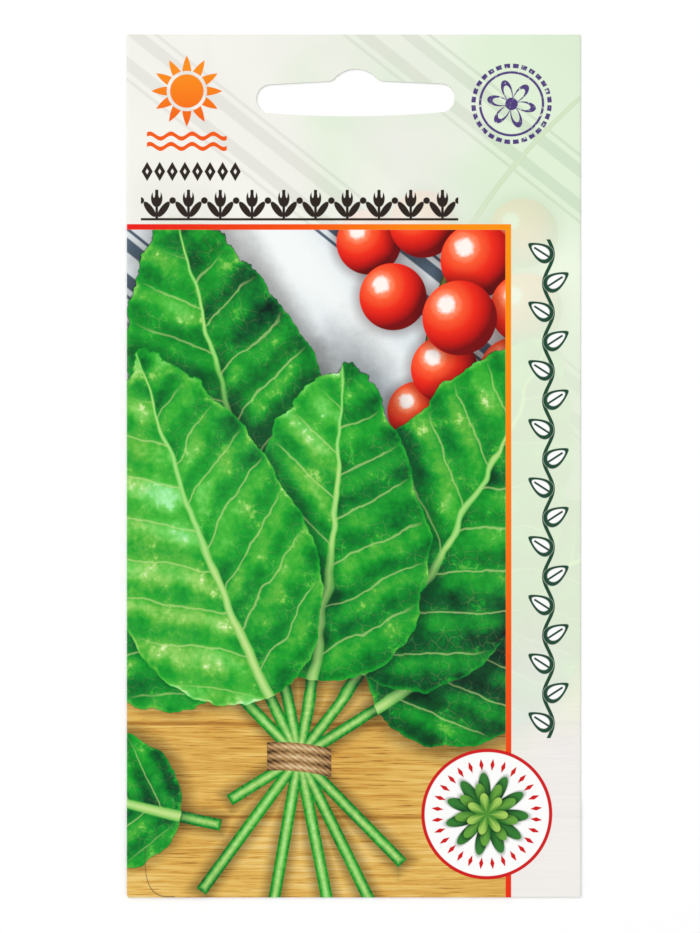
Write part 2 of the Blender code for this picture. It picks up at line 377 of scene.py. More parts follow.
@dataclass
class Picture(Layers):
    """The printed picture: a tied bunch of broad leaves with berries, on boards and a striped cloth.

    The leaves' tone, paleness, cover and light are numbers, worked out leaf over leaf and coloured last.
    """

    tie: Place = (-9.0, -48.0)
    stalk_half: float = 1.0
    board_top: float = -27.0
    board_height: float = 15.5
    leaves: Sequence[Leaf] = (
        Leaf(-78, 5, 34, 10.5, 3, 0.44, 6, (-23.5, -59.0), 1.0),
        Leaf(58, 15, 54, 14.5, -5, 0.36, below=13.0),
        Leaf(-44, 16, 72, 17.0, 6, 0.40, below=24.0),
        Leaf(36, 17, 64, 16.5, -7, 0.46),
        Leaf(-11, 20, 72, 17.5, -3, 0.46, 9),
        Leaf(10, 13, 52, 15.0, -4, 0.54, 7),
        Leaf(-26, 11, 60, 16.0, 5, 0.60),
    )
    berries: Sequence[Berry] = (
        Berry(2.5, 37.0, 5.4),
        Berry(22.5, 6.0, 4.8),
        Berry(10.5, 9.0, 5.0),
        Berry(28.0, 38.5, 5.8),
        Berry(11.5, 40.0, 5.6),
        Berry(26.5, 15.5, 5.8),
        Berry(20.5, 34.0, 6.2),
        Berry(6.5, 28.0, 5.6),
        Berry(15.0, 16.0, 5.6),
        Berry(28.5, 26.0, 6.0),
        Berry(17.5, 24.5, 6.2),
    )
    greens: Stops = (
        (0.0, ink(0, 32, 22)),
        (0.18, ink(0, 86, 38)),
        (0.36, ink(6, 134, 42)),
        (0.52, ink(34, 162, 48)),
        (0.68, ink(92, 184, 60)),
        (0.84, ink(154, 214, 104)),
        (1.0, ink(226, 244, 184)),
    )
    reds: Stops = (
        (0.0, ink(120, 4, 8)),
        (0.35, ink(204, 20, 12)),
        (0.62, ink(238, 42, 20)),
        (0.84, ink(250, 88, 46)),
        (0.915, ink(255, 140, 100)),
        (0.945, ink(255, 244, 238)),
    )
    woods: Stops = (
        (0.0, ink(138, 84, 30)),
        (0.35, ink(206, 152, 66)),
        (0.65, ink(229, 186, 94)),
        (1.0, ink(246, 218, 150)),
    )
    hemps: Stops = ((0.0, ink(70, 44, 24)), (0.5, ink(184, 144, 94)), (1.0, ink(240, 220, 180)))

    def __post_init__(self) -> None:
        """Sets up what all the motifs share: patterns, a gently warped place, and the empty numbers."""
        paint = self.painter
        where = paint.where
        self.broad = where.noise(0.05, 2.0) - 0.5
        self.middle = where.noise(0.22, 3.0, 0.6) - 0.5
        self.fine = where.noise(1.1, 4.0, 0.65) - 0.5
        calm = paint.y.soft(self.tie[1], self.tie[1] + 22.0)
        ripple = (where.noise(0.12, 2.0, 0.45) - 0.5) * calm
        self.x = ripple.times_plus(2.6, paint.x)
        self.y = ripple.times_plus(-2.0, paint.y)
        bent = paint.spot(self.middle.times_plus(2.4, self.x), self.middle.times_plus(-2.0, self.y))
        cells = {"voronoi_dimensions": "2D", "feature": "DISTANCE_TO_EDGE"}
        self.net = paint.value("ShaderNodeTexVoronoi", cells, {"Vector": bent, "Scale": 0.62}, "Distance")
        self.mottle = self.broad * 0.62 + self.middle * 0.44 + self.fine * 0.17
        self.mottle = self.mottle + self.net.soft(0.0, 0.40) * 0.045
        self.mottle = self.mottle + (self.middle + self.fine * 0.6).soft(0.13, 0.30) * 0.16
        self.tone: Number = 0.0
        self.pale: Number = 0.0
        self.cover: Number = 0.0
        self.light: Number = 1.0

    def cloth(self) -> None:
        """Lays a pale linen cloth with soft folds, a fine weave and slanted slate-blue stripes."""
        paint = self.painter
        across = paint.slant(self.x, self.y, 0.62, 0.78)
        along = paint.slant(paint.x, paint.y, 0.78, -0.62)
        fold = paint.spot(across * 0.055, along * 0.012).noise(1.0, 2.0)
        weave = (across * 9.0).sine() * (along * 9.0).sine()
        light = (fold + weave * 0.012 + self.fine * 0.05).soft(0.30, 0.66)
        self.colour = paint.mix(light, ink(196, 208, 216), ink(243, 247, 246))
        band = (across - 3.0).pingpong(14.0)
        broad = band.soft(3.4, 3.1) * band.soft(1.2, 1.5)
        narrow = band.soft(4.7, 4.5) * band.soft(4.0, 4.2)
        slate = paint.mix(light, ink(20, 38, 56), ink(58, 90, 116))
        self.lay(paint.most(broad, narrow) * 0.92, slate)

    def boards(self) -> None:
        """Lays golden boards with long grain, dark joints between them and a shadow along the cloth."""
        paint = self.painter
        row = (paint.y - self.board_top) / self.board_height
        board = row.floor()
        shift = paint.spot(paint.x * 0.022 + board * 3.7, paint.y * 0.42 + board * 1.3)
        swirl = shift.noise(1.0, 3.0, 0.55)
        rings = (swirl * 34.0 + paint.y * 0.7).sine()
        streaks = paint.spot(paint.x * 0.08, paint.y * 3.1).noise(1.0, 3.0, 0.6)
        fibres = paint.spot(paint.x * 0.16, paint.y * 6.5).noise(1.0, 3.0, 0.6)
        tone = 0.60 + rings * 0.11 + (streaks - 0.5) * 0.55 + self.broad * 0.5
        tone = tone - fibres.soft(0.44, 0.30) * 0.42
        tone = tone + ((board * 0.37).fract() - 0.5) * 0.16
        joint = row.pingpong(0.5) * self.board_height
        tone = tone * (0.35 + joint.soft(0.05, 0.55) * 0.65)
        table = self.y.soft(self.board_top + 0.1, self.board_top - 0.1)
        self.lay(table, paint.ramp(tone, self.woods))
        near = paint.y.soft(self.board_top - 3.0, self.board_top) * table
        self.lay(near * 0.55, ink(70, 60, 60), "MULTIPLY")

    def twig_and_berries(self) -> None:
        """Lays a twig of red berries: a berry's tone rises up and leftwards, less its distance squared."""
        paint = self.painter
        bow = paint.y - 24.0
        twig = abs(paint.slant(bow, bow * bow, 0.22, 0.012, 13.0) - paint.x)
        bark = paint.mix(twig.soft(0.6, 0.0), ink(66, 74, 28), ink(150, 160, 74))
        self.lay(twig.soft(0.62, 0.5), bark)
        tone: Number = 0.0
        cover: Number = 0.0
        light: Number = 1.0
        dot = {"operation": "DOT_PRODUCT"}
        for berry in self.berries:
            place = paint.spot(paint.x - berry.x, paint.y - berry.y)
            square = paint.value("ShaderNodeVectorMath", dot, {0: place, 1: place}, "Value")
            far = square * (1 / berry.radius**2)
            inside = far.soft(1.03, 0.96)
            near = far.soft(1.9, 0.7).times_plus(-0.55, 1.0)
            tilt = 0.62 / (berry.radius * math.sqrt(2))
            ball = paint.slant(paint.x, paint.y, -tilt, tilt, 0.81 + (berry.x - berry.y) * tilt)
            tone = paint.blend(inside, tone, far.times_plus(-0.62, ball))
            light = paint.blend(inside, light * near, 1.0)
            cover = paint.most(cover, inside)
        self.lay(cover, paint.ramp(tone + self.fine * 0.05, self.reds))
        self.lay(1.0 - light, ink(96, 44, 44), "MULTIPLY")

    def own_axes(self, leaf: Leaf) -> tuple[Value, Value]:
        """A leaf's own axes.

        Args:
            leaf: The leaf.

        Returns:
            The distance up the leaf from its blade's foot, and to the right of its midrib.
        """
        sin, cos = math.sin(math.radians(leaf.lean)), math.cos(math.radians(leaf.lean))
        foot = (leaf.root[0] + leaf.stalk * sin, leaf.root[1] + leaf.stalk * cos)
        along = self.painter.slant(self.x, self.y, sin, cos, -foot[0] * sin - foot[1] * cos)
        across = self.painter.slant(self.x, self.y, cos, -sin, -foot[0] * cos + foot[1] * sin)
        return along, across

    def stalks(self, axes: Sequence[tuple[Value, Value]]) -> None:
        """The stalks as round rods: the distance to the nearest one gives the cover and the roundness.

        Args:
            axes: Each leaf's own axes.
        """
        paint = self.painter
        nearest: Number = 99.0
        for leaf, (along, across) in zip(self.leaves, axes):
            reach = (leaf.stalk + leaf.below) / 2
            past = abs(along + reach) - (reach + 0.6)
            rod = paint.most(abs(across) - self.stalk_half, past)
            nearest = paint.maths("MINIMUM", nearest, rod)
        inside = nearest.soft(0.07, -0.07)
        self.light = 1.0 - nearest.soft(2.2, -0.3) * (1.0 - inside) * 0.62
        self.tone = nearest.times_plus(-0.58, self.fine * 0.6 + self.broad * 0.4 + 0.27)
        self.pale = nearest.soft(-0.25, -0.95) * 0.42
        self.cover = inside

    def blade(self, leaf: Leaf, along: Value, straight: Value) -> None:
        """One leaf's blade over what is worked out so far.

        The blade lies where (across / half width) squared is less than 4 s (1 - s) (1.7 - 1.3 s), with s
        the share along. Side veins stand where s times their count, less a share of the way across, is
        whole, and the blade between two veins is domed.

        Args:
            leaf: The leaf.
            along: The distance up from the blade's foot.
            straight: The distance to the right of a straight midrib.
        """
        paint = self.painter
        share = along * (1 / leaf.length)
        across = (share * share).times_plus(-leaf.bend, straight)
        away = abs(across)
        span = 2 * leaf.half
        taper = paint.maths("MINIMUM", share.times_plus(1.3 * span, -1.7 * span), -0.4 * span)
        room = share * (1.0 - share) * taper
        edge = self.middle.times_plus(1.7, (across * across).times_plus(1 / span, room))
        inside = edge.soft(0.09, -0.09)
        right = across > 0.0
        beside = across.times_plus(-0.06, edge).soft(3.2, -1.2)
        shaded = self.light * beside.times_plus(-0.66, 1.0)
        phase = share.times_plus(leaf.veins, self.middle * 0.15)
        phase = right.times_plus(0.45, away.times_plus(-1.45 / leaf.half, phase))
        cell = phase.fract() - 0.5
        valley = abs(cell)
        vein = valley.soft(0.462, 0.492) * edge.soft(-0.3, -3.0)
        side = share.times_plus(0.85, away)
        rib = side.soft(1.14, 0.78)
        lit = right.times_plus(-0.17, self.mottle + leaf.tone)
        lit = cell.times_plus(valley.times_plus(-1.9, 0.95), lit)
        lit = edge.soft(-0.75, -0.10).times_plus(0.15, lit)
        lit = away.soft(3.2, 0.7).times_plus(-0.11, lit)
        lit = edge.soft(0.0, -0.30 * leaf.half).times_plus(0.07, lit)
        lit = paint.blend(rib, lit, away.times_plus(-0.30, 0.88))
        self.tone = paint.blend(inside, self.tone, lit)
        core = side.soft(1.0, 0.1).times_plus(0.46, rib * 0.18)
        self.pale = paint.blend(inside, self.pale, paint.most(core, vein * 0.40))
        self.light = paint.blend(inside, shaded, 1.0)
        self.cover = paint.most(self.cover, inside)

    def bunch(self) -> None:
        """Lays the stalks and the blades, with their shadow, cool patches, fine net and veins."""
        paint = self.painter
        axes = [self.own_axes(leaf) for leaf in self.leaves]
        self.stalks(axes)
        for leaf, (along, across) in zip(self.leaves, axes):
            self.blade(leaf, along, across)
        self.lay(1.0 - self.light, ink(58, 58, 54), "MULTIPLY")
        green = paint.ramp(self.tone * self.light, self.greens)
        cool = (self.broad - self.middle * 0.5).soft(-0.10, 0.16)
        green = paint.mix(cool * 0.75, green, ink(150, 250, 222), "MULTIPLY")
        hair = self.net.soft(0.085, 0.0) * self.middle.soft(-0.12, 0.14) * 0.10
        pale = paint.most(self.pale, hair) * self.light.times_plus(0.7, 0.3)
        self.lay(self.cover, paint.mix(pale, green, ink(206, 230, 150)))

    def twine(self) -> None:
        """Lays three turns of twine round the stalks, darker where they go round the sides."""
        paint = self.painter
        x, y = self.x - self.tie[0], self.y - self.tie[1]
        square = x * x
        level = paint.slant(y, x, 1.0, 0.10) + square * 0.016
        turns = (level + 0.8).pingpong(0.8)
        inside = abs(x).soft(5.4, 5.2) * abs(level).soft(2.42, 2.3)
        ply = paint.slant(x, level, 5.2, 8.4).sine()
        tone = turns * 0.62 + ply * 0.13 + self.fine * 0.5 - square * 0.012 + 0.26
        self.lay(inside, paint.ramp(tone, self.hemps))

    def build(self) -> Colour:
        """Paints the picture from back to front.

        Returns:
            The picture's colour everywhere on the front.
        """
        for layer in (self.cloth, self.boards, self.twig_and_berries, self.bunch, self.twine):
            layer()
        return self.colour


@dataclass
class Ornament:
    """A plain ornament set at a point of the print, in millimetres. Each method gives one kind's mask."""

    painter: Painter
    at: Place

    def __post_init__(self) -> None:
        """Works out the place from the ornament's point."""
        self.x, self.y = self.painter.x - self.at[0], self.painter.y - self.at[1]

    def diamonds(self, pitch: float, count: int) -> Value:
        """A row of open diamonds from the point on: up plus along, in half sizes, is less than one.

        Args:
            pitch: The distance between two diamonds.
            count: How many diamonds there are.

        Returns:
            The row's mask.
        """
        side = abs((self.x / pitch).fract() - 0.5)
        diamond = abs(self.y) * (1 / 1.6) + side * (pitch / 0.92)
        row = diamond.soft(1.05, 0.96) * diamond.soft(0.24, 0.34)
        return row * self.x.within(0.0, pitch * count)

    def tulips(self, count: int, pitch: float = 5.25) -> Value:
        """A border of tulips from the point on, with paired leaves, beads and a ground line, 5 mm high.

        Args:
            count: How many tulips there are.
            pitch: The distance between two tulips.

        Returns:
            The border's mask.
        """
        paint, y = self.painter, self.y
        side = abs((self.x / pitch).fract() - 0.5) * pitch
        bud = paint.distance(side / 0.95, (y - 1.05) / 1.45)
        notch = paint.distance((side - 0.46) / 0.20, (y - 2.0) / 0.85)
        petals = bud.soft(1.05, 0.95) * notch.soft(0.9, 1.1)
        a = paint.slant(side, y, 0.80, -0.60, -1.37)
        b = paint.slant(side, y, 0.60, 0.80, -0.09)
        leaf = paint.distance(a / 0.56, b / 1.55).soft(1.06, 0.94)
        stem = side.soft(0.26, 0.18) * abs(y + 1.05).soft(1.35, 1.25)
        bead = paint.distance(side - pitch / 2, y - 0.7).soft(0.60, 0.50)
        motif = paint.most(petals, leaf, stem, bead, (y + 2.4).stroke(0.2))
        return motif * self.x.within(0.0, count * pitch)

    def vine(self, pitch: float, tall: float) -> tuple[Value, Value]:
        """A vine that climbs from the point: a waved stem with leaves left and right by turns.

        Args:
            pitch: The climb from one leaf to the next.
            tall: The vine's height.

        Returns:
            The masks of its drawn lines and of the leaves' white.
        """
        paint = self.painter
        step = self.y / pitch
        count = step.floor()
        out = self.x * ((count * 0.5).fract() * 4.0 - 1.0)
        rise = (step - count) * pitch
        a = paint.slant(out, rise, 0.84, 0.54, -2.70)
        b = paint.slant(out, rise, -0.54, 0.84, -1.71)
        leaf = paint.distance(a / 2.35, b / (1.38 - a * 0.30))
        inside = leaf.soft(1.04, 0.96)
        rim = inside * leaf.soft(0.64, 0.74)
        vein = b.stroke(0.17) * a.soft(1.3, 1.1) * inside
        stem = (self.x - (self.y * (math.pi / pitch)).sine() * 0.75).stroke(0.32)
        lines = paint.most(rim, vein, stem * (1.0 - inside))
        within = self.y.within(0.0, tall)
        return lines * within, inside * within

    def sun(self) -> Value:
        """A sun with twelve rays over two ripples, 12 mm wide: rays narrow evenly from the disc outwards.

        Returns:
            The sun's mask.
        """
        paint, x, y = self.painter, self.x, self.y
        away = paint.distance(x, y)
        ray = (paint.maths("ARCTAN2", y, x) * (6 / math.pi)).pingpong(0.5)
        spike = ((5.9 - away) * 0.17 - ray).soft(-0.02, 0.03) * away.soft(3.25, 3.4)
        disc = away.soft(2.85, 2.7)
        swing = y + 8.3 - (x * 1.8).sine() * 0.40
        ripple = (abs(swing) - 0.85).stroke(0.36) * x.stroke(6.6)
        return paint.most(spike, disc, ripple)

    def flower(self) -> Value:
        """A six-petalled flower in a thin ring and a dashed one, 13 mm across, worn as a stamp's print is.

        Returns:
            The flower's mask.
        """
        paint = self.painter
        away = paint.distance(self.x, self.y)
        turn = paint.maths("ARCTAN2", self.y, self.x)
        petal = away - abs((turn * 3.0 + 0.6).cosine()) * 3.2 - 0.9
        petals = petal.soft(0.06, -0.06) * petal.soft(-1.0, -0.85)
        dash = (turn * (14 / math.pi)).pingpong(0.5).soft(0.14, 0.18)
        dashes = (away - 6.3).stroke(0.36) * dash
        mark = paint.most(petals, away.soft(1.1, 0.98), dashes, (away - 5.2).stroke(0.20))
        return mark * paint.where.noise(1.3, 3.0, 0.7).soft(0.28, 0.42)


@dataclass
class FrontPrint(Layers):
    """The front's print: the picture, its pale bands and stripe, and plain ornaments in their places."""

    paper: CoatedPaper = CoatedPaper()
    panel_right: float = 25.1
    panel_top: float = 39.07
    stripe: float = 0.93
    stripe_fade: Place = (66.0, 140.0)
    stripe_inks: Stops = ((0.0, ink(253, 147, 2)), (0.5, ink(246, 84, 0)), (1.0, ink(232, 20, 10)))
    veil: float = 0.86
    red: Ink = ink(208, 24, 26)
    brown: Ink = ink(42, 32, 26)
    purple: Ink = ink(66, 34, 118)
    pine: Ink = ink(30, 72, 50)
    white: Ink = ink(253, 253, 252)
    sun_at: Place = (-27.6, 62.0)
    stamp_at: Place = (26.1, 59.9)
    diamonds_at: Place = (-35.2, 48.7)
    tulips_at: Place = (-35.2, 43.2)
    vine_at: Place = (32.2, -45.0)
    vine_height: float = 82.5
    badge_at: Place = (21.99, -57.51)
    badge_leaves: Sequence[tuple[float, float, float, Ink, Ink]] = (
        (5.5, 0.3, 6.9, ink(10, 66, 32), ink(52, 124, 50)),
        (4.5, 1.1, 5.3, ink(26, 104, 38), ink(104, 164, 62)),
        (3.5, 0.2, 3.5, ink(70, 140, 46), ink(168, 208, 96)),
    )

    def __post_init__(self) -> None:
        """Works out the distance past the picture's panel."""
        self.past = self.painter.most(self.painter.x - self.panel_right, self.painter.y - self.panel_top)

    def bands(self) -> None:
        """Lays the pale bands above and beside the picture, through which it shows faintly."""
        paint = self.painter
        cloud = paint.where.noise(0.045, 2.0) - 0.5
        green = cloud.times_plus(60.0, paint.x).soft(-14.0, 26.0)
        fresh = paint.mix(paint.y.soft(34.0, 44.0), ink(237, 248, 224), ink(220, 238, 207))
        tint = paint.mix(green, ink(243, 241, 232), fresh)
        grey = cloud.times_plus(20.0, paint.y).soft(-34.0, -52.0)
        tint = paint.mix(grey, tint, ink(244, 245, 247))
        self.lay(self.past > 0.0, paint.mix(self.veil, self.colour, tint))

    def stripes(self) -> None:
        """Lays the stripe along the picture's top and right, orange at its corner and red at its ends."""
        paint = self.painter
        middle = self.stripe / 2
        solid = abs(self.past - middle).soft(middle + 0.04, middle - 0.04)
        left = (self.panel_right - paint.x).soft(0.0, self.stripe_fade[0])
        down = (self.panel_top - paint.y).soft(0.0, self.stripe_fade[1])
        self.lay(solid, paint.ramp(paint.most(left, down), self.stripe_inks))

    def badge(self) -> None:
        """Lays the round badge: a red ring, a ring of red grains and a green rosette on white.

        Each layer of the rosette reaches as far as the cosine of its lobes times the turn swings.
        """
        paint = self.painter
        x, y = paint.x - self.badge_at[0], paint.y - self.badge_at[1]
        away = paint.distance(x, y)
        turn = paint.maths("ARCTAN2", y, x)
        self.lay(away.soft(10.75, 10.65), self.white)
        grain = abs((turn * (14 / math.pi)).fract() - 0.5)
        grain = grain * 5.2 + abs(away - 8.2)
        self.lay(paint.most((away - 10.56).stroke(0.28), grain.soft(1.08, 0.96)), self.red)
        for lobes, start, reach, dark, light in self.badge_leaves:
            lobe = abs((turn * lobes + start).cosine())
            past = lobe.times_plus(-0.55 * reach, away - 0.45 * reach)
            self.lay(past.soft(0.9, -0.1) * 0.6, ink(90, 110, 80), "MULTIPLY")
            tone = lobe.soft(0.35, 1.0) * away.soft(0.0, reach)
            tone = tone + lobe.soft(0.985, 0.998) * 0.6
            self.lay(past.soft(0.08, -0.08), paint.mix(tone, dark, light))

    def crease_shadow_line(self) -> None:
        """Lays painted shade: the dark line of a fine crease round the lower left corner, where |x| cubed
        plus |y| cubed is one.
        """
        paint = self.painter
        x, y = (paint.x + 30.0) / 4.5, (paint.y + 64.0) / 7.2
        cubes = abs(x).power(3.0) + abs(y).power(3.0)
        # painted shade: this dark line stands for the shadow in the fine crease
        mark = abs(cubes - 1.0).soft(0.075, 0.02) * (x < 0.1) * (y < 0.1)
        self.lay(mark * 0.6, ink(60, 50, 44))

    def material(self) -> bpy.types.Material:
        """Lays the whole print.

        Returns:
            The front's material.
        """
        paint = self.painter
        self.colour = Picture(paint).build()
        self.bands()
        self.stripes()
        gold = paint.mix(paint.y.soft(54.0, 67.0), ink(241, 90, 10), ink(250, 142, 20))
        self.lay(Ornament(paint, self.sun_at).sun(), gold)
        diamonds = Ornament(paint, self.diamonds_at).diamonds(2.08, 8)
        self.lay(paint.most(diamonds, Ornament(paint, self.tulips_at).tulips(10)), self.brown)
        self.lay(Ornament(paint, self.stamp_at).flower() * 0.96, self.purple)
        lines, white = Ornament(paint, self.vine_at).vine(4.85, self.vine_height)
        self.lay(white, self.white)
        self.lay(lines, self.pine)
        self.badge()
        # painted shade: the dark line of a fine crease near the lower left corner
        self.crease_shadow_line()
        return self.paper.material(paint, self.colour)


@dataclass
class BackPrint(Layers):
    """The back's print, a guess: pale, with a stripe, a chart, ruled lines and plain borders."""

    paper: CoatedPaper = CoatedPaper()
    stripe_y: float = 39.3
    stripe: float = 0.82
    chart_y: float = 24.0
    chart_cell: float = 4.6
    chart_size: tuple[int, int] = (12, 3)
    rule_pitch: float = 4.0
    rule_top: float = 8.0
    rule_count: int = 8
    rule_half: float = 29.0
    tulips_at: Place = (-28.9, -32.0)
    sun_at: Place = (27.6, 58.0)

    def ground(self) -> None:
        """Lays the cloudy pale ground, the green header and the stripe under it."""
        paint = self.painter
        cloud = paint.where.noise(0.05, 2.0)
        grain = paint.where.noise(1.7, 4.0, 0.65)
        pale = (cloud + grain * 0.1).soft(0.35, 0.75)
        self.colour = paint.mix(pale, ink(240, 242, 230), ink(247, 247, 241))
        header = paint.y.soft(self.stripe_y - 0.05, self.stripe_y + 0.05)
        self.lay(header, paint.mix(cloud, ink(222, 234, 206), ink(238, 243, 226)))
        warm = paint.mix(paint.x.soft(-37.0, 37.0), ink(232, 26, 8), ink(252, 118, 0))
        self.lay((paint.y - self.stripe_y).stroke(self.stripe / 2), warm)

    def chart(self) -> None:
        """Lays a sowing chart: rows of twelve cells, some of them filled, under thin green lines."""
        paint, cell = self.painter, self.chart_cell
        columns, rows = self.chart_size
        x = (cell * columns / 2 - paint.x) / cell
        y = (paint.y - self.chart_y + cell * rows / 2) / cell
        within = x.within(0.0, columns) * y.within(0.0, rows)
        column, row = x.floor(), y.floor()
        start = 5.0 - row * 1.6
        filled = (column > start) * (column < start + 3.7)
        inset = paint.most((x + 0.5).pingpong(0.5), (y + 0.5).pingpong(0.5))
        tint = paint.mix(row * 0.5, ink(90, 164, 58), ink(240, 120, 34))
        self.lay(inset.soft(0.40, 0.37) * filled * within, tint)
        self.lay(inset.soft(0.435, 0.465) * within * 0.8, ink(30, 92, 52))

    def rules(self) -> None:
        """Lays thin ruled lines where a packet has its directions."""
        paint = self.painter
        depth = (self.rule_top - paint.y) / self.rule_pitch
        lines = ((depth.fract() - 0.5) * self.rule_pitch).stroke(0.12)
        lines = lines * depth.within(0.0, self.rule_count) * paint.x.stroke(self.rule_half)
        self.lay(lines * 0.55, ink(120, 134, 118))

    def material(self) -> bpy.types.Material:
        """Lays the whole print.

        Returns:
            The back's material.
        """
        self.ground()
        self.lay(Ornament(self.painter, self.sun_at).sun(), ink(244, 108, 20))
        self.chart()
        self.rules()
        self.lay(Ornament(self.painter, self.tulips_at).tulips(11), ink(30, 72, 50))
        return self.paper.material(self.painter, self.colour)


class Side(IntEnum):
    """The sheet's material slots."""

    FRONT = 0
    BACK = 1
    PLAIN = 2


class Panel(IntEnum):
    """The blank's panels, from its left edge to its right one."""

    LAP = 0
    LEFT_BEND = 1
    FRONT = 2
    RIGHT_BEND = 3
    BACK = 4


class Zone(IntEnum):
    """The blank's zones, from its lower edge up."""

    FLAP = 0
    BEND = 1
    BODY = 2


@dataclass(frozen=True)
class HangSlot:
    """The punched slot: a bar with round ends, a bowed lower edge and a dome for the display hook."""

    middle: Place = (0.0003, 0.0608)
    turn: float = math.radians(0.3)
    half_length: float = 0.01645
    end_radius: float = 0.0024
    top: float = 0.00287
    bottom: float = 0.00296
    dome_radius: float = 0.00478
    dome_top: float = 0.0049
    dome_fillet: float = 0.0015
    reach: float = 0.004

    @staticmethod
    def arc(x: float, y: float, radius: float, start: float, end: float, steps: int) -> np.ndarray:
        """Points round (x, y) at a radius, turned evenly from start to end degrees, one a row."""
        turns = np.radians(np.linspace(start, end, steps + 1))
        return np.stack([x + radius * np.cos(turns), y + radius * np.sin(turns)], axis=1)

    def outline(self) -> np.ndarray:
        """The slot's outline, anticlockwise: end arcs, a bow below, and a dome with fillets at its foot.

        Returns:
            The points in the packet's own plane, one a row.
        """
        end_x = self.half_length - self.end_radius
        dome_y = self.dome_top - self.dome_radius
        reach = self.dome_radius + self.dome_fillet
        fillet_y = self.top + self.dome_fillet
        fillet_x = math.sqrt(reach**2 - (fillet_y - dome_y) ** 2)
        lean = math.degrees(math.atan2(fillet_y - dome_y, fillet_x))
        sag = self.bottom - self.end_radius
        bow = (end_x**2 + sag**2) / (2 * sag)
        half = math.degrees(math.asin(end_x / bow))
        arcs = (
            self.arc(0, bow - self.bottom, bow, -90 - half, -90 + half, 24)[:-1],
            self.arc(end_x, 0, self.end_radius, -90, 90, 32),
            self.arc(fillet_x, fillet_y, self.dome_fillet, 270, 180 + lean, 10),
            self.arc(0, dome_y, self.dome_radius, lean, 180 - lean, 32)[1:-1],
            self.arc(-fillet_x, fillet_y, self.dome_fillet, -lean, -90, 10),
            self.arc(-end_x, 0, self.end_radius, 90, 270, 32)[:-1],
        )
        cos, sin = math.cos(self.turn), math.sin(self.turn)
        return np.concatenate(arcs) @ np.array([[cos, sin], [-sin, cos]]) + self.middle

    def punch(self, paper: bpy.types.Material) -> bpy.types.Object:
        """The punch: the outline as a prism that runs past both faces of the packet.

        Args:
            paper: The material that the punch leaves on the cut edges.

        Returns:
            The punch, which is removed once it has cut.
        """
        outline = self.outline()
        count = len(outline)
        points = [np.column_stack([outline, np.full(count, level)]) for level in (-self.reach, self.reach)]
        here = np.arange(count)
        after = (here + 1) % count
        walls = np.stack([here, after, after + count, here + count], axis=1)
        faces = [list(range(count - 1, -1, -1)), list(range(count, 2 * count)), *walls.tolist()]
        mesh = bpy.data.meshes.new("punch")
        mesh.from_pydata(np.concatenate(points), [], faces)
        mesh.materials.append(paper)
        return linked("punch", mesh)


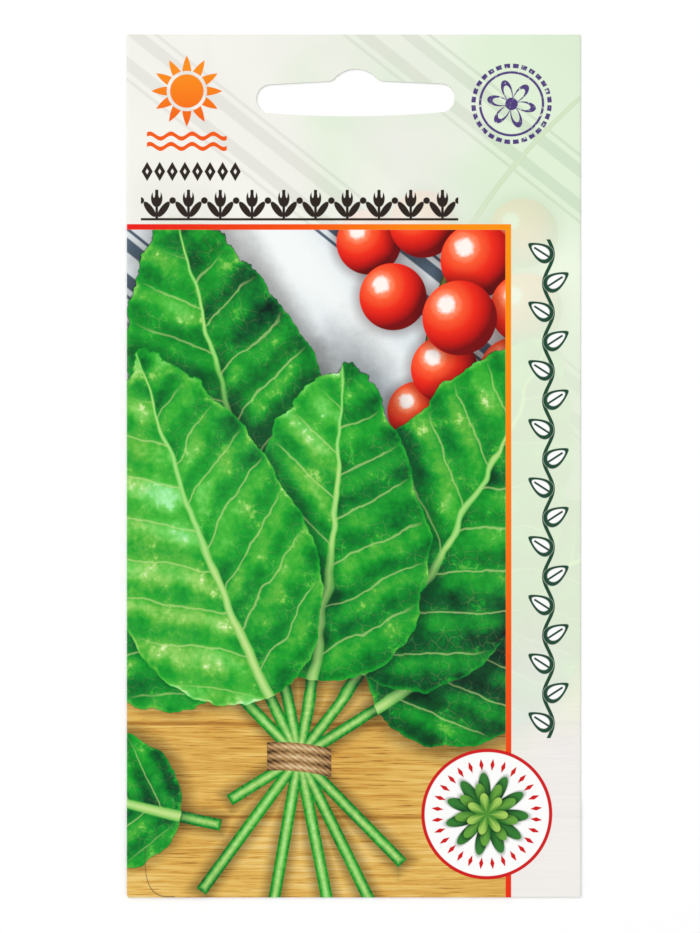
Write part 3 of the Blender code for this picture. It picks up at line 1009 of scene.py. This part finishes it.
@dataclass
class FoldedSheet:
    """The packet's one sheet, folded at both sides and the bottom, with its lap, flap and header."""

    low: Sequence[float]
    high: Sequence[float]
    slot: HangSlot = HangSlot()
    paper: float = 0.00011
    layer: float = 0.00015
    side_lap: float = 0.0120
    back_margin: float = 0.0004
    bottom_flap: float = 0.0150
    flap_taper: float = 0.0060
    step_start: float = 0.0005
    step_length: float = 0.0014
    swell_height: float = 0.00235
    swell_middle: float = -0.0230
    swell_reach: Place = (0.0340, 0.0450)
    cell: float = 0.00066
    back_cells: int = 39
    bend_cells: int = 6
    map_shares: tuple[float, float, float] = (0.05, 0.60, 0.35)
    map_margin: float = 0.004
    bend_map_step: float = 0.2
    spare_map_size: Place = (0.33, 0.07)
    spare_map_at: Place = (0.66, 0.005)
    sharp_edge: float = math.radians(40)

    def __post_init__(self) -> None:
        """Works out the fold lines from the CAD sheet's box, and the grid's stations on the blank."""
        half_width = min(self.high[0], -self.low[0])
        half_height = min(self.high[1], -self.low[1])
        self.radius = self.layer / 2
        self.bend_x = half_width - self.radius - self.paper / 2
        self.bend_y = self.layer + self.paper / 2 - half_height
        self.lap_end = self.side_lap - half_width
        self.flap_end = self.bottom_flap - half_height
        self.flap_middle = self.paper / 2
        bend = np.linspace(0.0, np.pi, self.bend_cells + 1)
        back = np.linspace(self.bend_x, self.back_margin - half_width, self.back_cells + 1)
        self.panels, self.across = self.stations(
            {
                Panel.LAP: self.even(self.lap_end, -self.bend_x)[:-1],
                Panel.LEFT_BEND: bend[::-1],
                Panel.FRONT: self.even(-self.bend_x, self.bend_x)[1:-1],
                Panel.RIGHT_BEND: bend,
                Panel.BACK: back[1:],
            }
        )
        self.zones, self.along = self.stations(
            {
                Zone.FLAP: self.even(self.flap_end, self.bend_y)[:-1],
                Zone.BEND: bend[::-1],
                Zone.BODY: self.even(self.bend_y + self.layer, half_height),
            }
        )

    def even(self, low: float, high: float) -> np.ndarray:
        """Stations from low to high about a cell apart, with both ends."""
        return np.linspace(low, high, max(2, round(abs(high - low) / self.cell) + 1))

    @staticmethod
    def stations(stretches: dict[IntEnum, np.ndarray]) -> tuple[np.ndarray, np.ndarray]:
        """Each station's stretch of the blank, and its place there: a length, or an angle on a bend."""
        kinds = np.repeat([int(kind) for kind in stretches], [len(places) for places in stretches.values()])
        return kinds, np.concatenate(list(stretches.values()))

    def step_down(self, place: np.ndarray, end: float) -> np.ndarray:
        """1 over a hidden layer that ends at end, then half a cosine wave down to 0."""
        share = np.clip((place - end - self.step_start) / self.step_length, 0.0, 1.0)
        return 0.5 + 0.5 * np.cos(np.pi * share)

    def swell(self, x: np.ndarray, y: np.ndarray) -> np.ndarray:
        """The seeds' mound: (1 - across cubed)(1 - along cubed), squared, and zero from its reach outwards.

        Args:
            x: Across the packet.
            y: Along the packet.

        Returns:
            The mound's share of its full height.
        """
        across = np.clip(np.abs(x) / self.swell_reach[0], 0.0, 1.0)
        along = np.clip(np.abs(y - self.swell_middle) / self.swell_reach[1], 0.0, 1.0)
        return ((1 - across**3) * (1 - along**3)) ** 2

    def creases(self, x: np.ndarray, y: np.ndarray) -> np.ndarray:
        """Handling marks: two products of slanted sine waves, times the square root of the mound.

        Args:
            x: Across the packet.
            y: Along the packet.

        Returns:
            The height to add, in metres.
        """
        slow = np.sin(x / 0.0093 + y / 0.0170 + 0.7) * np.sin(y / 0.0121 - x / 0.0260)
        fast = np.sin(x / 0.0041 - y / 0.0083 + 1.9) * np.sin(y / 0.0057 + x / 0.0190 + 0.4)
        return np.sqrt(self.swell(x, y)) * (0.00006 * slow + 0.000022 * fast)

    def back_height(self, y: np.ndarray) -> np.ndarray:
        """Middle of the back panel: one layer up where the bottom flap lies under it."""
        return self.flap_middle + self.layer * self.step_down(y, self.flap_end)

    def front_height(self, x: np.ndarray, y: np.ndarray) -> np.ndarray:
        """Middle of the front: over the back, the side lap and the seeds, with its ripples."""
        over_lap = self.layer * (1 + self.step_down(x, self.lap_end))
        return self.back_height(y) + over_lap + self.swell_height * self.swell(x, y) + self.creases(x, y)

    def middle(self) -> tuple[np.ndarray, np.ndarray]:
        """The sheet's middle surface, folded.

        A bend is half a turn of radius half a layer between the panels that it joins. The bottom bend drops
        each point of the front's lower edge to the flap by half a turn, and the flap narrows evenly.

        Returns:
            A grid of points, and whether each lies on the blank.
        """
        panels, across = self.panels, self.across
        zone, along = self.zones[:, None], self.along[:, None]
        y = np.where(zone == Zone.BODY, along, self.bend_y)
        back = self.back_height(y)
        turn_x, turn_z = self.radius * np.sin(across), self.radius * (1 + np.cos(across))
        shapes = {
            Panel.LAP: (across, back + self.layer),
            Panel.LEFT_BEND: (-self.bend_x - turn_x, back + self.layer + turn_z),
            Panel.FRONT: (across, self.front_height(across, y)),
            Panel.RIGHT_BEND: (self.bend_x + turn_x, back + turn_z),
            Panel.BACK: (across, back),
        }
        x, z = (np.select([panels == panel for panel in shapes], axis) for axis in zip(*shapes.values()))
        x, y, z = np.broadcast_arrays(x, y, z)
        bends, flaps = zone == Zone.BEND, zone == Zone.FLAP
        reach = (along - self.bend_y) / (self.flap_end - self.bend_y)
        x = np.where(flaps, x * (1 - reach * self.flap_taper / self.bend_x), x)
        y = np.where(bends, y - self.layer * np.sin(along), np.where(flaps, along, y))
        drop = (z - self.flap_middle) / 2
        z = np.where(bends, self.flap_middle + drop * (1 + np.cos(along)), z)
        z = np.where(flaps, self.flap_middle, z)
        side = ((panels == Panel.LEFT_BEND) | (panels == Panel.RIGHT_BEND)) & (across == 0.0)
        on_blank = (zone == Zone.BODY) | (panels == Panel.FRONT) | side
        return np.stack([x, y, z], axis=2), on_blank

    def blank_map(self) -> np.ndarray:
        """The bake map of the printed side: the blank laid flat, with the widest share for the front.

        Returns:
            A map place from 0 to 1 for each point of the grid, one a row.
        """
        group = (self.panels > Panel.LAP).astype(int) + (self.panels == Panel.BACK)
        step = np.array(self.map_shares)[group] / np.bincount(group)[group]
        across = np.cumsum(step) - step / 2
        up = np.cumsum(np.where(self.zones == Zone.BEND, self.bend_map_step, 1.0))
        places = np.meshgrid(across, (up - up[0]) / (up[-1] - up[0]))
        return self.map_margin + (1 - 2 * self.map_margin) * np.stack(places, axis=2).reshape(-1, 2)

    def build(self, finishes: Sequence[bpy.types.Material]) -> bpy.types.Object:
        """The sheet as one closed mesh: the middle surface moved half the paper's thickness out and in.

        Args:
            finishes: The front print, the back print and the plain paper.

        Returns:
            The sheet, with its slot punched.
        """
        middle, on_blank = self.middle()
        count, columns = on_blank.size, on_blank.shape[1]
        normal = np.cross(np.gradient(middle, axis=1), np.gradient(middle, axis=0))
        normal *= self.paper / 2 / np.maximum(np.linalg.norm(normal, axis=2, keepdims=True), SMALLEST)
        points = np.concatenate([(middle + normal).reshape(-1, 3), (middle - normal).reshape(-1, 3)])
        number = np.arange(count).reshape(on_blank.shape)
        a, b, c, d = number[:-1, :-1], number[:-1, 1:], number[1:, 1:], number[1:, :-1]
        cell = on_blank[:-1, :-1] & on_blank[1:, :-1] & on_blank[:-1, 1:] & on_blank[1:, 1:]
        ring = np.pad(cell, 1)
        printed = np.stack([a, b, c, d], axis=2)[cell]
        rims = [
            np.stack([first, second, second + count, first + count], axis=2)[cell & ~beside]
            for first, second, beside in (
                (a, d, ring[1:-1, :-2]),
                (c, b, ring[1:-1, 2:]),
                (b, a, ring[:-2, 1:-1]),
                (d, c, ring[2:, 1:-1]),
            )
        ]
        unprinted = np.concatenate([printed[:, [0, 3, 2, 1]] + count, *rims])
        faces = np.concatenate([printed, unprinted])
        turned = np.isin(self.panels, (Panel.BACK, Panel.LAP))[printed % columns]
        behind = (turned | (self.zones[printed // columns] == Zone.FLAP)).any(axis=1)
        sides = np.full(len(faces), Side.PLAIN, dtype=np.int32)
        sides[: len(printed)] = np.where(behind, Side.BACK, Side.FRONT)
        blank = self.blank_map()
        spare = blank * self.spare_map_size + self.spare_map_at
        places = np.concatenate([blank[printed], spare[unprinted % count]])
        used, index = np.unique(faces, return_inverse=True)
        mesh = bpy.data.meshes.new("packet_sheet")
        mesh.from_pydata(points[used], [], index.reshape(faces.shape))
        mesh.polygons.foreach_set("material_index", sides)
        for finish in finishes:
            mesh.materials.append(finish)
        mesh.uv_layers.new(name="OFBake").uv.foreach_set("vector", places.reshape(-1).astype(np.float32))
        mesh.shade_smooth()
        mesh.validate()
        return self.punched(mesh)

    def punched(self, mesh: bpy.types.Mesh) -> bpy.types.Object:
        """The sheet with the hang slot cut through both of its layers.

        Args:
            mesh: The folded sheet's mesh.

        Returns:
            The finished sheet.
        """
        sheet = linked("packet_sheet", mesh)
        punch = self.slot.punch(mesh.materials[Side.PLAIN])
        cut = sheet.modifiers.new("hang slot", "BOOLEAN")
        cut.operation = "DIFFERENCE"
        cut.solver = "MANIFOLD"
        cut.object = punch
        graph = bpy.context.evaluated_depsgraph_get()
        cut_mesh = bpy.data.meshes.new_from_object(sheet.evaluated_get(graph))
        sheet.modifiers.clear()
        sheet.data = cut_mesh
        cut_mesh.name = "packet_sheet"
        bpy.data.objects.remove(punch)
        cut_mesh.set_sharp_from_angle(angle=self.sharp_edge)
        return sheet


@dataclass
class Studio:
    """A pale floor, soft light from all round and a camera that looks straight down on the packet."""

    floor_size: float = 3.0
    floor_gap: float = 0.0001
    floor_tone: Ink = ink(255, 255, 255)
    floor_roughness: float = 0.9
    lamps: Sequence[tuple[str, tuple[float, float, float], float]] = (
        ("key", (-0.7, 0.5, 1.1), 9.2),
        ("fill", (0.8, -0.3, 1.2), 3.4),
    )
    lamp_size: float = 1.0
    sky: float = 0.585
    lens: float = 100.0
    sensor: float = 36.0
    frame_height: float = 0.15430
    aim: Place = (-0.00062, -0.00008)
    front: float = 0.0003
    clip_start: float = 0.01

    def build(self) -> None:
        """Adds the floor, the lights, the sky and the camera."""
        self.floor()
        self.lights()
        self.camera()

    def floor(self) -> None:
        """The floor, just under the packet."""
        half = self.floor_size / 2
        mesh = bpy.data.meshes.new("floor")
        corners = ((-half, -half), (half, -half), (half, half), (-half, half))
        mesh.from_pydata([(*corner, -self.floor_gap) for corner in corners], [], [(0, 1, 2, 3)])
        plain = bpy.data.materials.new("floor")
        plain.use_nodes = True
        shader = plain.node_tree.nodes["Principled BSDF"]
        shader.inputs["Base Color"].default_value = self.floor_tone
        shader.inputs["Roughness"].default_value = self.floor_roughness
        mesh.materials.append(plain)
        floor = linked("floor", mesh)

    def lights(self) -> None:
        """Two large soft lamps above, each turned to the packet, and a bright even sky."""
        for name, place, power in self.lamps:
            data = bpy.data.lights.new(name, "AREA")
            data.energy = power
            data.size = self.lamp_size
            lamp = linked(name, data)
            lamp.location = place
            x, y, z = place
            lamp.rotation_euler = (math.atan2(math.hypot(x, y), z), 0.0, math.atan2(-y, -x) - math.pi / 2)
        world = bpy.data.worlds.new("studio")
        world.use_nodes = True
        sky = world.node_tree.nodes["Background"]
        sky.inputs["Color"].default_value = (1.0, 1.0, 1.0, 1.0)
        sky.inputs["Strength"].default_value = self.sky
        bpy.context.scene.world = world
        bpy.context.scene.view_settings.view_transform = "Standard"

    def camera(self) -> None:
        """The camera, high enough that the frame's height spans its share of the sensor."""
        data = bpy.data.cameras.new("camera")
        data.lens = self.lens
        data.sensor_width = self.sensor
        data.clip_start = self.clip_start
        camera = linked("camera", data)
        camera.location = (*self.aim, self.frame_height * self.lens / self.sensor + self.front)
        bpy.context.scene.camera = camera


def main() -> None:
    """Builds the studio and the packet's pieces in order."""
    logging.basicConfig(level=logging.INFO, format="%(message)s")
    Studio().build()
    front, back = FrontPrint(Painter("front_print")), BackPrint(Painter("back_print"))
    finishes = [front.material(), back.material(), PlainPaper().material()]
    sheet = FoldedSheet(*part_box("envelope")).build(finishes)
    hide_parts("envelope")
    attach(sheet, "root")
    LOG.info("packet_sheet: %d faces", len(sheet.data.polygons))
    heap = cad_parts["seeds"]
    heap.material_slots[0].material = SeedCoat().material()
    LOG.info("seeds: %d faces", len(heap.data.polygons))


if __name__ == "__main__":
    main()
